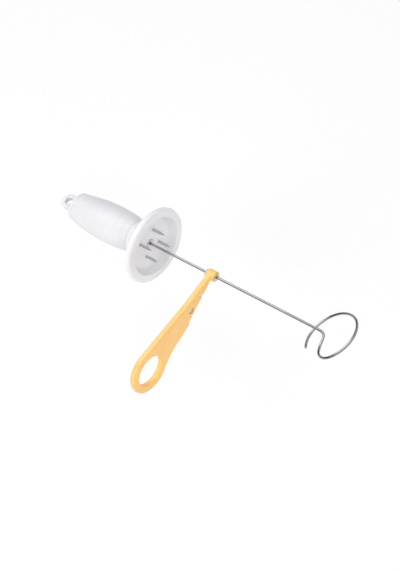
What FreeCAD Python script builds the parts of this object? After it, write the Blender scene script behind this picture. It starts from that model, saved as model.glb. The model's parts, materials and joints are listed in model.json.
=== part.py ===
"""Tornado potato cutter: a prong holder with a hand grip, a wire skewer and a spinning cutter arm.

Millimetres. +X runs along the skewer from the holder to the ring handle, and +Z is up. The origin
is where the skewer's axis meets the floor of the dish, the face that the potato is pressed on.
"""
import FreeCAD, Part
import math
import os

V = FreeCAD.Vector
ORIGIN = V(0, 0, 0)
AXIS = V(1, 0, 0)

# Clearances
RUN_GAP = 0.06            # radial, a piece that turns or slides on another
SNUG_GAP = 0.02           # radial, a piece that is pressed or screwed into another
END_GAP = 0.15            # axial play of a turning piece between its stops

# Holder dish
RIM_R = 27.5
RIM_T = 5.0
RIM_ROUND = 2.1
MOUTH_R = 21.6
DISH_DEPTH = 6.0
FLOOR_R = 18.8
FLOOR_T = 2.6
FLOOR_ROUND = 2.0
LIP_ROUND = 0.9
NECK_R = 12.0
NECK_L = 9.5
NECK_ROUND = 3.5
SPIGOT_L = 8.0
SPIGOT_WALL = 1.8
BOSS_R = 4.6
BOSS_L = 22.0
CORE_FLOOR_T = 3.4        # solid plastic left between the dish's floor and the hollow neck
RIB_COUNT = 8
RIB_T = 1.6
RIB_OUTER_R = 20.0
RIB_DEPTH = 6.5

# Potato prongs
PRONG_COUNT = 4
PRONG_R = 1.0
PRONG_SHANK_R = 1.4
PRONG_CIRCLE_R = 10.0
PRONG_SEAT = 4.6
PRONG_REACH = 10.0
PRONG_POINT_L = 3.6

# Hand grip, its fixing and its end cap
GRIP_L = 54.0
GRIP_WALL = 2.2
GRIP_BELLY_Y = 14.2
GRIP_BELLY_Z = 11.8
GRIP_END_Y = 10.8
GRIP_END_Z = 9.4
GRIP_STATIONS = 7
OVAL_POINTS = 12
WEB_GAP = 0.2
WEB_T = 3.2
SCREW_R = 1.45
SCREW_L = 13.0
SCREW_POINT_L = 2.0
SCREW_HEAD_R = 3.0
SCREW_HEAD_H = 2.1
SCREW_HOLE_GAP = 0.25
PILOT_L = 14.0
WASHER_R = 4.2
WASHER_T = 0.7
CAP_T = 3.2
CAP_ROUND = 1.5
PLUG_L = 6.0
PLUG_WALL = 1.8
TONGUE_R = 6.0
TONGUE_T = 4.0
TONGUE_L = 8.0
TONGUE_ROUND = 0.8
HANG_HOLE_R = 2.75

# Skewer wire
WIRE_R = 0.9
TIP_DEPTH = 20.0
TIP_POINT_L = 7.0
TIP_END_R = 0.15
SOCKET_L = 22.0
SOCKET_WALL = 1.2
SOCKET_LIP_R = 3.4
SOCKET_LIP_T = 0.5
RING_X = 147.25
RING_R = 18.1
RING_TILT = 29.2          # degrees, the ring's far side stands higher than the shaft
BEND_BACK = 4.25          # corner of the shaft, back from the ring's centre
BEND_R = 3.0
RETURN_R = 8.3            # the small arc that brings the wire round into the ring
RETURN_FROM = 207.5       # degrees in the ring's plane, from its far side towards +Y
RETURN_TO = 306.3
LEAD_L = 3.6
LEAD_R = 7.5
TAIL_TO = 581.0           # degrees, where the free tail ends, one turn past 221
TAIL_ROUND = 0.35

# Cutter: arm, hub, blade and rivets
HUB_X = 54.0
ARM_ANGLE = 189.2         # degrees about +X from +Y, where the arm lies at rest
ARM_L = 74.7
ARM_T = 4.2
ARM_TIP_HALF_W = 9.9
ARM_BLEND_R = 18.0
ARM_ROUND = 1.0
SHOULDER_AT = 36.0        # from here the arm narrows towards the hub
SHOULDER_HALF_W = 8.6
SHOULDER_R = 30.0
LEAD_ROOT = -0.8          # height at which the leading side's line passes the skewer
RING_OUTER_R = 16.0
FINGER_R = 10.6
FINGER_ROUND = 1.2
HUB_R = 3.6
HUB_L = 7.5
HUB_ROUND = 0.6
HUB_NOSE_R = 2.9
HUB_NOSE_L = 1.2
EYELET_WALL = 0.8
EYELET_FLANGE_R = 2.6
EYELET_FLANGE_T = 0.6
BLADE_SLOPE = 7.0         # degrees, tips the leading edge towards the holder
BLADE_T = 0.7
BLADE_HUB_GAP = 0.3
BLADE_OUTER = 34.0
BLADE_BACK_ROOT = 3.0     # how far the blade reaches behind the middle line, at the skewer
BLADE_BACK = 4.5          # the same at its outer end
BLADE_REACH = 2.6         # how far the edge stands out past the arm at the outer end
EDGE_ROOT = 0.6           # height at which the edge's line passes the skewer
BLADE_BEVEL = 2.2
BLADE_CORNER_R = 2.5
SEAT_OFFSET = 0.3         # seat plane behind the middle of the arm's thickness
SEAT_END_GAP = 0.2
NOSE_T = 0.8              # plastic left behind the blade at the arm's leading edge
NOSE_W = 4.0
RIVET_INNER = 15.0
RIVET_OUTER = 27.5
RIVET_R = 1.2
RIVET_HEAD_R = 2.2
RIVET_HEAD_H = 0.6
RIVET_GRIP = 1.5          # plastic that a rivet clamps

# Worked out from the sizes above
NECK_END = FLOOR_T + NECK_L
SPIGOT_R = NECK_R - GRIP_WALL - SNUG_GAP
GRIP_END = NECK_END + GRIP_L
WEB_FRONT = NECK_END + BOSS_L + WEB_GAP
WEB_REAR = WEB_FRONT + WEB_T
SOCKET_BORE_R = WIRE_R + RUN_GAP
SOCKET_R = SOCKET_BORE_R + SOCKET_WALL
EYELET_BORE_R = WIRE_R + RUN_GAP
EYELET_R = EYELET_BORE_R + EYELET_WALL
BLADE_INNER = HUB_R + BLADE_HUB_GAP


def rounded_edges(corners, closed=True):
    """Straight runs through (point, radius) corners, with a tangent arc at each corner."""
    count = len(corners)
    starts, arcs = [], []
    for i, (corner, radius) in enumerate(corners):
        open_end = not closed and i in (0, count - 1)
        if radius == 0 or open_end:
            starts.append((corner, corner))
            arcs.append(None)
            continue
        to_last = (corners[i - 1][0] - corner).normalize()
        to_next = (corners[(i + 1) % count][0] - corner).normalize()
        half = to_last.getAngle(to_next) / 2
        setback = radius / math.tan(half)
        middle = (to_last + to_next).normalize()
        enter = corner + to_last * setback
        leave = corner + to_next * setback
        top = corner + middle * (radius / math.sin(half) - radius)
        starts.append((enter, leave))
        arcs.append(Part.Arc(enter, top, leave).toShape())
    edges = []
    for i in range(count):
        if arcs[i]:
            edges.append(arcs[i])
        if closed or i < count - 1:
            leave, enter = starts[i][1], starts[(i + 1) % count][0]
            if leave.distanceToPoint(enter) > 1e-6:
                edges.append(Part.makeLine(leave, enter))
    return edges


def turned(corners):
    """Solid of revolution about the skewer's axis, from (x, radius, corner rounding) points."""
    edges = rounded_edges([(V(x, r, 0), rounding) for x, r, rounding in corners])
    return Part.Face(Part.Wire(edges)).revolve(ORIGIN, AXIS, 360)


def rod(radius, start_x, end_x, y=0, z=0):
    """Cylinder along X."""
    return Part.makeCylinder(radius, end_x - start_x, V(start_x, y, z), AXIS)


def around(shape, angle):
    """Copy of a shape turned about the skewer's axis."""
    copy = shape.copy()
    copy.rotate(ORIGIN, AXIS, angle)
    return copy


def ring_of_places(count, first_angle):
    """Equal angles round the axis."""
    return [first_angle + 360.0 * i / count for i in range(count)]


def oval(x, half_y, half_z):
    """Smooth oval wire across the grip."""
    turns = [2 * math.pi * i / OVAL_POINTS for i in range(OVAL_POINTS)]
    curve = Part.BSplineCurve()
    curve.interpolate([V(x, half_y * math.cos(turn), half_z * math.sin(turn)) for turn in turns],
                      PeriodicFlag=True)
    return Part.Wire([curve.toShape()])


# ---------------------------------------------------------------- holder

def rib():
    """One web between the neck and the back of the dish."""
    inside = NECK_R - RIB_T
    outline = Part.makePolygon([
        V(-FLOOR_T / 2, inside, 0),
        V(-FLOOR_T / 2, RIB_OUTER_R, 0),
        V(-FLOOR_T, RIB_OUTER_R, 0),
        V(-FLOOR_T - RIB_DEPTH, NECK_R, 0),
        V(-FLOOR_T - RIB_DEPTH, inside, 0),
        V(-FLOOR_T / 2, inside, 0),
    ])
    web = Part.Face(outline).extrude(V(0, 0, RIB_T))
    web.translate(V(0, 0, -RIB_T / 2))
    return web


def holder_dish():
    """Moulding: dish with a rolled rim, ribs, and a hollow neck with a boss down its middle."""
    back_r = MOUTH_R + FLOOR_T / 2
    boss_end = -NECK_END - BOSS_L
    core_r = SPIGOT_R - SPIGOT_WALL
    core_floor = -FLOOR_T - CORE_FLOOR_T
    body = turned([
        (0, 0, 0),
        (0, FLOOR_R, FLOOR_ROUND),
        (DISH_DEPTH, MOUTH_R, LIP_ROUND),
        (DISH_DEPTH, RIM_R, RIM_ROUND),
        (DISH_DEPTH - RIM_T, RIM_R, RIM_ROUND),
        (DISH_DEPTH - RIM_T, back_r, LIP_ROUND),
        (-FLOOR_T, FLOOR_R + FLOOR_T / 2, FLOOR_ROUND),
        (-FLOOR_T, NECK_R, NECK_ROUND),
        (-NECK_END, NECK_R, 0),
        (-NECK_END, SPIGOT_R, 0),
        (-NECK_END - SPIGOT_L, SPIGOT_R, 0),
        (-NECK_END - SPIGOT_L, core_r, 0),
        (core_floor, core_r, LIP_ROUND),
        (core_floor, BOSS_R, LIP_ROUND),
        (boss_end, BOSS_R, 0),
        (boss_end, 0, 0),
    ])
    for angle in ring_of_places(RIB_COUNT, 0):
        body = body.fuse(around(rib(), angle))
    body = body.cut(rod(SOCKET_R + SNUG_GAP, -SOCKET_L, DISH_DEPTH))
    body = body.cut(rod(SCREW_R + SNUG_GAP, boss_end, boss_end + PILOT_L))
    for angle in prong_angles():
        seat = rod(PRONG_SHANK_R + SNUG_GAP, -PRONG_SEAT, DISH_DEPTH, y=PRONG_CIRCLE_R)
        body = body.cut(around(seat, angle))
    return body.removeSplitter()


def socket_tube():
    """Stainless liner of the skewer's hole, with a lip on the dish's floor and a funnel mouth."""
    return turned([
        (-SOCKET_L, SOCKET_BORE_R, 0),
        (-SOCKET_L, SOCKET_R, 0),
        (0, SOCKET_R, 0),
        (0, SOCKET_LIP_R, 0),
        (SOCKET_LIP_T, SOCKET_LIP_R - SOCKET_LIP_T / 2, 0),
        (SOCKET_LIP_T, SOCKET_BORE_R + SOCKET_LIP_T, 0),
        (0, SOCKET_BORE_R, 0),
    ])


def prong_angles():
    """Places of the prongs, between the lines of the cutter's rest place."""
    return ring_of_places(PRONG_COUNT, 180.0 / PRONG_COUNT)


def prong(angle):
    """One pointed pin, pressed into the dish's floor."""
    pin = turned([
        (-PRONG_SEAT, 0, 0),
        (-PRONG_SEAT, PRONG_SHANK_R, 0),
        (0, PRONG_SHANK_R, 0),
        (0, PRONG_R, 0),
        (PRONG_REACH - PRONG_POINT_L, PRONG_R, 0),
        (PRONG_REACH, TIP_END_R, 0),
        (PRONG_REACH, 0, 0),
    ])
    pin.translate(V(0, PRONG_CIRCLE_R, 0))
    return around(pin, angle)


def grip_half(share, inset=0.0):
    """Half width and half height of the grip at a share of its length, less an inset."""
    near = (1 - share) * (1 - 2 * share)
    belly = 4 * share * (1 - share)
    far = share * (2 * share - 1)
    half_y = near * NECK_R + belly * GRIP_BELLY_Y + far * GRIP_END_Y
    half_z = near * NECK_R + belly * GRIP_BELLY_Z + far * GRIP_END_Z
    return half_y - inset, half_z - inset


def grip_loft(near, far, inset=0.0):
    """Swelling body of the grip between two distances behind the neck's end."""
    sections = []
    for i in range(GRIP_STATIONS):
        behind = near + (far - near) * i / (GRIP_STATIONS - 1)
        sections.append(oval(-NECK_END - behind, *grip_half(behind / GRIP_L, inset)))
    return Part.makeLoft(sections, True)


def grip_shell():
    """Hollow oval grip, open at both ends, with a web inside for the fixing screw."""
    shell = grip_loft(0, GRIP_L)
    shell = shell.cut(grip_loft(0, WEB_FRONT - NECK_END, GRIP_WALL))
    shell = shell.cut(grip_loft(WEB_REAR - NECK_END, GRIP_L, GRIP_WALL))
    return shell.cut(rod(SCREW_R + SCREW_HOLE_GAP, -WEB_REAR, -WEB_FRONT))


def grip_washer():
    """Washer between the screw's head and the web of the grip."""
    inner = SCREW_R + SCREW_HOLE_GAP
    return rod(WASHER_R, -WEB_REAR - WASHER_T, -WEB_REAR).cut(
        rod(inner, -WEB_REAR - WASHER_T, -WEB_REAR))


def grip_screw():
    """Pan-head screw with a cross recess, driven into the dish's boss from inside the grip."""
    seat = -WEB_REAR - WASHER_T
    tip = seat + SCREW_L
    screw = turned([
        (seat - SCREW_HEAD_H, 0, 0),
        (seat - SCREW_HEAD_H, SCREW_HEAD_R, SCREW_HEAD_H / 2),
        (seat, SCREW_HEAD_R, 0),
        (seat, SCREW_R, 0),
        (tip - SCREW_POINT_L, SCREW_R, 0),
        (tip, SCREW_R / 3, 0),
        (tip, 0, 0),
    ])
    slot_w, slot_l, slot_h = SCREW_R / 2, SCREW_HEAD_R, SCREW_HEAD_H / 2
    for angle in (0, 90):
        slot = Part.makeBox(slot_h, slot_l, slot_w, V(seat - SCREW_HEAD_H, -slot_l / 2, -slot_w / 2))
        screw = screw.cut(around(slot, angle))
    return screw


def end_cap():
    """Plug that closes the grip, with a flat tongue and a hole to hang the tool by."""
    outer_y, outer_z = grip_half(1)
    flange = Part.makeLoft([oval(-GRIP_END, outer_y, outer_z),
                            oval(-GRIP_END - CAP_T, outer_y, outer_z)], True)
    rear = [edge for edge in flange.Edges if edge.BoundBox.XMax < -GRIP_END - CAP_T / 2]
    flange = flange.makeFillet(CAP_ROUND, rear)
    skirt = []
    for inset in (GRIP_WALL + SNUG_GAP, GRIP_WALL + SNUG_GAP + PLUG_WALL):
        half_y, half_z = grip_half(1, inset)
        skirt.append(Part.makeLoft([oval(-GRIP_END, half_y, half_z),
                                    oval(-GRIP_END + PLUG_L, half_y, half_z)], True))
    eye_x = -GRIP_END - CAP_T - TONGUE_L
    below = V(eye_x, 0, -TONGUE_T / 2)
    up = V(0, 0, 1)
    tongue = Part.makeCylinder(TONGUE_R, TONGUE_T, below, up).fuse(Part.makeBox(
        TONGUE_L + CAP_T / 2, 2 * TONGUE_R, TONGUE_T, below - V(0, TONGUE_R, 0))).removeSplitter()
    faces = [edge for edge in tongue.Edges if edge.BoundBox.ZLength < TONGUE_T / 2
             and edge.BoundBox.XMin < -GRIP_END - CAP_T]
    tongue = tongue.makeFillet(TONGUE_ROUND, faces)
    cap = flange.fuse([tongue, skirt[0].cut(skirt[1])]).removeSplitter()
    return cap.cut(Part.makeCylinder(HANG_HOLE_R, TONGUE_T, below, up))


# ---------------------------------------------------------------- skewer

def ring_point(radius, degrees, centre=(0, 0)):
    """Point in the tilted plane of the ring handle; 0 degrees is its far side, 90 is +Y."""
    along = centre[0] + radius * math.cos(math.radians(degrees))
    across = centre[1] + radius * math.sin(math.radians(degrees))
    tilt = math.radians(RING_TILT)
    return V(RING_X + along * math.cos(tilt), across, along * math.sin(tilt))


def ring_arc(radius, start, end, centre=(0, 0)):
    """Arc edge in the plane of the ring handle."""
    places = (start, (start + end) / 2, end)
    return Part.Arc(*[ring_point(radius, place, centre) for place in places]).toShape()


def skewer_wire():
    """One bent wire: point, straight shaft, corner, return arc, ring and free tail."""
    offset = RING_R - RETURN_R
    turn = math.radians(RETURN_TO)
    centre = (offset * math.cos(turn), offset * math.sin(turn))
    arrive = ring_point(RETURN_R, RETURN_FROM, centre)
    ahead = (ring_point(1, RETURN_FROM + 90) - ring_point(0, 0)).normalize()
    shoulder = V(-TIP_DEPTH + TIP_POINT_L, 0, 0)
    edges = rounded_edges([
        (shoulder, 0),
        (V(RING_X - BEND_BACK, 0, 0), BEND_R),
        (arrive - ahead * LEAD_L, LEAD_R),
        (arrive, 0),
    ], closed=False)
    edges.append(ring_arc(RETURN_R, RETURN_FROM, RETURN_TO, centre))
    ring_middle = (RETURN_TO + TAIL_TO) / 2
    edges.append(ring_arc(RING_R, RETURN_TO, ring_middle))
    edges.append(ring_arc(RING_R, ring_middle, TAIL_TO))
    section = Part.Wire([Part.makeCircle(WIRE_R, shoulder, AXIS)])
    bent = Part.Wire(edges).makePipeShell([section], True, False)
    tail = ring_point(RING_R, TAIL_TO)
    blunt = min(bent.Edges, key=lambda edge: edge.CenterOfMass.distanceToPoint(tail))
    bent = bent.makeFillet(TAIL_ROUND, [blunt])
    point = Part.makeCone(TIP_END_R, WIRE_R, TIP_POINT_L, V(-TIP_DEPTH, 0, 0), AXIS)
    return bent.fuse(point)


# ---------------------------------------------------------------- cutter
# The cutter's pieces are drawn with the arm along +Y and its leading side towards +Z, at the
# place of the hub, and then turned to the arm's rest place.

def at_rest(shape):
    """Cutter piece moved from its drawing place to its rest place on the skewer."""
    shape.translate(V(HUB_X, 0, 0))
    return around(shape, ARM_ANGLE)


def sloped(shape):
    """Shape from the blade's own plane, x = 0 on its seat, into the arm's drawing place."""
    shape.rotate(ORIGIN, V(0, 1, 0), -BLADE_SLOPE)
    shape.translate(V(-SEAT_OFFSET, 0, 0))
    return shape


def leading_side(along):
    """Height of the arm's leading side over its middle line, at a distance from the skewer."""
    return LEAD_ROOT + (SHOULDER_HALF_W - LEAD_ROOT) * along / SHOULDER_AT


def cutting_edge(along):
    """Height of the blade's edge over the arm's middle line, at a distance from the skewer."""
    outer = leading_side(BLADE_OUTER) + BLADE_REACH
    return EDGE_ROOT + (outer - EDGE_ROOT) * along / BLADE_OUTER


def blade_back(along):
    """Height of the blade's back, which is below the arm's middle line."""
    return -BLADE_BACK_ROOT - (BLADE_BACK - BLADE_BACK_ROOT) * along / BLADE_OUTER


def along_side(section, side):
    """Prism of an (x, height over the side) section, run along a straight side of the blade's seat."""
    slope = math.degrees(math.atan2(side(BLADE_OUTER) - side(0), BLADE_OUTER))
    corners = [V(x, 0, height) for x, height in section]
    prism = Part.Face(Part.makePolygon(corners + corners[:1])).extrude(V(0, 2 * BLADE_OUTER, 0))
    prism.rotate(ORIGIN, AXIS, slope)
    prism.translate(V(0, 0, side(0)))
    return prism


def arm_plate():
    """Flat arm: narrow at the hub, straight to its shoulder, then blended into the finger ring."""
    base = V(-ARM_T / 2, 0, 0)
    corners = [
        (0, -HUB_R, 0), (SHOULDER_AT, -SHOULDER_HALF_W, SHOULDER_R), (ARM_L, -ARM_TIP_HALF_W, 0),
        (ARM_L, ARM_TIP_HALF_W, 0), (SHOULDER_AT, SHOULDER_HALF_W, SHOULDER_R), (0, LEAD_ROOT, 0),
    ]
    outline = rounded_edges([(base + V(0, y, z), rounding) for y, z, rounding in corners])
    bar = Part.Face(Part.Wire(outline)).extrude(V(ARM_T, 0, 0))
    disc = Part.makeCylinder(RING_OUTER_R, ARM_T, base + V(0, ARM_L, 0), AXIS)
    plate = bar.fuse(disc).removeSplitter()
    meeting = ARM_L - math.sqrt(RING_OUTER_R ** 2 - ARM_TIP_HALF_W ** 2)
    inner_corners = [edge for edge in plate.Edges if edge.BoundBox.XLength > ARM_T / 2
                     and abs(edge.CenterOfMass.y - meeting) < ARM_TIP_HALF_W / 2]
    plate = plate.makeFillet(ARM_BLEND_R, inner_corners)
    rims = [edge for edge in plate.Edges if edge.BoundBox.XLength < ARM_T / 2
            and edge.BoundBox.YMax > HUB_R]
    return plate.makeFillet(ARM_ROUND, rims)


def blade_pocket():
    """Space in front of the blade's seat, open towards the arm's leading side."""
    reach = 2 * SHOULDER_HALF_W
    end = BLADE_OUTER + SEAT_END_GAP
    corners = [
        (0, blade_back(0) - SEAT_END_GAP, 0),
        (end, blade_back(BLADE_OUTER) - SEAT_END_GAP, BLADE_CORNER_R),
        (end, reach, 0), (0, reach, 0),
    ]
    outline = rounded_edges([(V(-HUB_L, y, z), rounding) for y, z, rounding in corners])
    return sloped(Part.Face(Part.Wire(outline)).extrude(V(HUB_L, 0, 0)))


def cutter_arm():
    """Yellow moulding: hub, blade pocket with a thinned nose, arm and finger ring."""
    plate = arm_plate().cut(blade_pocket())
    nose = along_side([(NOSE_T, 0), (ARM_T, -NOSE_W), (HUB_L, -NOSE_W), (HUB_L, NOSE_W),
                       (NOSE_T, NOSE_W)], leading_side)
    beyond = Part.makeBox(2 * HUB_L, ARM_L, ARM_L, V(-HUB_L, BLADE_OUTER, -ARM_L / 2))
    plate = plate.cut(sloped(nose.cut(beyond)))
    hub = turned([
        (-HUB_L / 2, 0, 0), (-HUB_L / 2, HUB_NOSE_R, 0),
        (-HUB_L / 2 + HUB_NOSE_L, HUB_R, HUB_ROUND),
        (HUB_L / 2, HUB_R, HUB_ROUND), (HUB_L / 2, 0, 0),
    ])
    arm = plate.fuse(hub)
    arm = arm.cut(rod(EYELET_R + RUN_GAP, -HUB_L, HUB_L))
    finger = Part.makeCylinder(FINGER_R, 2 * ARM_T, V(-ARM_T, ARM_L, 0), AXIS)
    arm = arm.cut(finger)
    mouths = [edge for edge in arm.Edges if abs(edge.CenterOfMass.y - ARM_L) < 0.01
              and abs(edge.BoundBox.ZLength - 2 * FINGER_R) < 0.01]
    arm = arm.makeFillet(FINGER_ROUND, mouths)
    for along in (RIVET_INNER, RIVET_OUTER):
        arm = arm.cut(sloped(rod(RIVET_R + SNUG_GAP, -ARM_T, ARM_T, y=along)))
        arm = arm.cut(sloped(rod(RIVET_HEAD_R + RUN_GAP, RIVET_GRIP, 2 * ARM_T, y=along)))
    return at_rest(arm)


def cutting_blade():
    """Flat tapered blade on its sloped seat, with a bevelled leading edge and two rivet holes."""
    outline = rounded_edges([
        (V(-BLADE_T, BLADE_INNER, blade_back(BLADE_INNER)), BLADE_T),
        (V(-BLADE_T, BLADE_OUTER, blade_back(BLADE_OUTER)), BLADE_CORNER_R),
        (V(-BLADE_T, BLADE_OUTER, cutting_edge(BLADE_OUTER)), BLADE_CORNER_R),
        (V(-BLADE_T, BLADE_INNER, cutting_edge(BLADE_INNER)), 0),
    ])
    blade = Part.Face(Part.Wire(outline)).extrude(V(BLADE_T, 0, 0))
    blade = blade.cut(along_side([(0, -BLADE_BEVEL), (-BLADE_T, 0), (-BLADE_T, BLADE_T),
                                  (BLADE_T, BLADE_T), (BLADE_T, -BLADE_BEVEL)], cutting_edge))
    for along in (RIVET_INNER, RIVET_OUTER):
        blade = blade.cut(rod(RIVET_R + SNUG_GAP, -2 * BLADE_T, BLADE_T, y=along))
    return at_rest(sloped(blade))


def blade_rivet(along):
    """Rivet through the blade and the arm, with a low domed head on each side."""
    front = -BLADE_T - RIVET_HEAD_H
    rear = RIVET_GRIP + RIVET_HEAD_H
    rivet = turned([
        (front, 0, 0), (front, RIVET_HEAD_R, RIVET_HEAD_H / 2),
        (-BLADE_T, RIVET_HEAD_R, 0), (-BLADE_T, RIVET_R, 0),
        (RIVET_GRIP, RIVET_R, 0), (RIVET_GRIP, RIVET_HEAD_R, 0),
        (rear, RIVET_HEAD_R, RIVET_HEAD_H / 2), (rear, 0, 0),
    ])
    rivet.translate(V(0, along, 0))
    return at_rest(sloped(rivet))


def hub_eyelet():
    """Stainless eyelet, flared over both ends of the hub, that runs on the skewer."""
    inside = HUB_L / 2 + END_GAP
    outside = inside + EYELET_FLANGE_T
    round_off = EYELET_FLANGE_T / 2
    eyelet = turned([
        (-outside, EYELET_BORE_R, 0), (-outside, EYELET_FLANGE_R, round_off),
        (-inside, EYELET_FLANGE_R, 0), (-inside, EYELET_R, 0),
        (inside, EYELET_R, 0), (inside, EYELET_FLANGE_R, 0),
        (outside, EYELET_FLANGE_R, round_off), (outside, EYELET_BORE_R, 0),
    ])
    eyelet.translate(V(HUB_X, 0, 0))
    return eyelet


def pieces():
    """Every piece of the tool, by name."""
    named = {
        "holder_dish": holder_dish(),
        "socket_tube": socket_tube(),
        "grip_shell": grip_shell(),
        "grip_washer": grip_washer(),
        "grip_screw": grip_screw(),
        "end_cap": end_cap(),
        "skewer_wire": skewer_wire(),
        "hub_eyelet": hub_eyelet(),
        "cutter_arm": cutter_arm(),
        "cutting_blade": cutting_blade(),
        "blade_rivet_inner": blade_rivet(RIVET_INNER),
        "blade_rivet_outer": blade_rivet(RIVET_OUTER),
    }
    for number, angle in enumerate(prong_angles(), start=1):
        named["prong_%d" % number] = prong(angle)
    return named


os.makedirs("parts", exist_ok=True)
for name, shape in pieces().items():
    shape.exportStep("parts/%s.step" % name)
    box = shape.BoundBox
    print("%-18s solids %d valid %s volume %8.1f  x %.1f..%.1f y %.1f..%.1f z %.1f..%.1f" % (
        name, len(shape.Solids), shape.isValid(), shape.Volume,
        box.XMin, box.XMax, box.YMin, box.YMax, box.ZMin, box.ZMax))
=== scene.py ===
"""Tornado potato cutter: how its white holder, wire skewer and yellow cutter look.

Sizes are in millimetres. +X runs along the skewer from the holder to the ring handle, +Z is up,
and the origin is where the skewer meets the floor of the dish.
"""

import json
import logging
import math
from collections.abc import Callable, Iterable, Sequence
from dataclasses import dataclass
from enum import Enum

import bmesh
import bpy
from mathutils import Matrix, Vector

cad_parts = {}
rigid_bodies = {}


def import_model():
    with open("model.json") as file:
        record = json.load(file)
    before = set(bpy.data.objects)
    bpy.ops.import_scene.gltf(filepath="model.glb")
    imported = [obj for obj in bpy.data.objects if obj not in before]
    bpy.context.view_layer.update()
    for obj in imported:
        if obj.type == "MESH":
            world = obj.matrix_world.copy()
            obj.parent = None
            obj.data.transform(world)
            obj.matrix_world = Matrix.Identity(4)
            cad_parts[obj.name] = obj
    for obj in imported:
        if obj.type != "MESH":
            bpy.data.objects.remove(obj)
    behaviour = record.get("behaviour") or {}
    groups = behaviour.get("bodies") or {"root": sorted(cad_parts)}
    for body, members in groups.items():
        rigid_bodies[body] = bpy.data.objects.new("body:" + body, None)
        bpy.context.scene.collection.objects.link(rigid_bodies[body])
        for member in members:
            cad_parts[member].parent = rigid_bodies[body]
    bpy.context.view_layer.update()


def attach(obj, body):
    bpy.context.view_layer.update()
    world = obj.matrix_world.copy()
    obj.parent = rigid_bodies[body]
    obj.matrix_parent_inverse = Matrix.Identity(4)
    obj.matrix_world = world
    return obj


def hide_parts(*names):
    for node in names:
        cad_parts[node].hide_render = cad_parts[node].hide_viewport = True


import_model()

MM = 0.001
TURN = 2 * math.pi
AXIS = Vector((1, 0, 0))
# Lays a plate that is drawn across X across Z, with its outline's Y along X.
ACROSS_Z = Matrix(((0, 1, 0, 0), (0, 0, 1, 0), (1, 0, 0, 0), (0, 0, 0, 1)))
THROUGH = 9.0  # a hole's cutter reaches this far past the middle of a plate
SHARPEST = 0.4  # least cosine of half a corner's turn that an inset line follows
Triple = tuple[float, float, float]
log = logging.getLogger("potato_cutter")


# ---------------- outlines


def vec(x: float, y: float = 0.0, z: float = 0.0) -> Vector:
    """A point or direction."""
    return Vector((x, y, z))


def polar(radius: float, angle: float) -> Vector:
    """Point of the YZ plane at an angle from +Y towards +Z, in radians."""
    return vec(0, radius * math.cos(angle), radius * math.sin(angle))


def spread(start: float, end: float, count: int) -> list[float]:
    """Values at equal steps from a start to an end, both included."""
    return [start + (end - start) * i / count for i in range(count + 1)]


def seam_bead(height: float) -> list[tuple[float, float]]:
    """The fine seam that the halves of a mould leave, as (place across it, height)."""
    return [(-2 * height, 0.0), (-height, height), (height, height), (2 * height, 0.0)]


def softened(radius: float, steps: int = 5) -> list[tuple[float, float]]:
    """Rounded edge as (distance from the end face, depth under the surface), from the face on."""
    turns = [math.pi / 2 * i / steps for i in range(steps, -1, -1)]
    return [(radius * (1 - math.sin(turn)), radius * (1 - math.cos(turn))) for turn in turns]


def arc_through(enter: Vector, leave: Vector, centre: Vector, step: float) -> list[Vector]:
    """Points of the shorter arc about a centre.

    Args:
        enter: first point of the arc.
        leave: last point of the arc.
        centre: centre of the arc.
        step: widest angle between two points, in degrees.

    Returns:
        The points, both ends included.
    """
    one, other = enter - centre, leave - centre
    angle = one.angle(other)
    count = max(2, math.ceil(math.degrees(angle) / step))
    return [centre + (one * math.sin((1 - share) * angle) + other * math.sin(share * angle))
            / math.sin(angle) for share in spread(0, 1, count)]


def rounded(corners: Sequence[tuple[Vector, float]], closed: bool, step: float) -> list[Vector]:
    """Line through corners, with a tangent arc at each corner that has a radius.

    Args:
        corners: each corner and the radius that rounds it, 0 for a sharp one.
        closed: whether the last corner runs on to the first.
        step: widest angle between two points of an arc, in degrees.

    Returns:
        The points of the line.
    """
    points: list[Vector] = []
    count = len(corners)
    for i, (corner, radius) in enumerate(corners):
        if radius == 0 or (not closed and i in (0, count - 1)):
            points.append(corner.copy())
            continue
        back = (corners[i - 1][0] - corner).normalized()
        ahead = (corners[(i + 1) % count][0] - corner).normalized()
        half = back.angle(ahead) / 2
        setback = radius / math.tan(half)
        centre = corner + (back + ahead).normalized() * (radius / math.sin(half))
        points += arc_through(corner + back * setback, corner + ahead * setback, centre, step)
    return points


def lathe_line(*corners: Triple, closed: bool = False, step: float = 12.0) -> list[Vector]:
    """Profile of a turned form through (place along the axis, radius, rounding) corners."""
    return rounded([(vec(x, radius), rounding) for x, radius, rounding in corners], closed, step)


def plate_line(*corners: Triple, closed: bool = True, step: float = 12.0) -> list[Vector]:
    """Outline of a plate across X through (y, z, rounding) corners."""
    return rounded([(vec(0, y, z), rounding) for y, z, rounding in corners], closed, step)


def inset(line: Sequence[Vector], distance: float) -> list[Vector]:
    """Closed flat line in the YZ plane moved inwards; it runs counter-clockwise seen from +X.

    Args:
        line: the points of the line.
        distance: how far inwards it moves, negative for outwards.

    Returns:
        The moved points, one for each point of the line.
    """
    moved = []
    for i, point in enumerate(line):
        back = (point - line[i - 1]).normalized()
        ahead = (line[(i + 1) % len(line)] - point).normalized()
        side = back + ahead
        inward = vec(0, -side.z, side.y).normalized()
        lean = max(SHARPEST, inward.dot(vec(0, -ahead.z, ahead.y)))
        moved.append(point + inward * (distance / lean))
    return moved


# ---------------- solids


class Join(Enum):
    """How a solid meets another one."""

    UNITE = "UNION"
    CUT = "DIFFERENCE"


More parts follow.
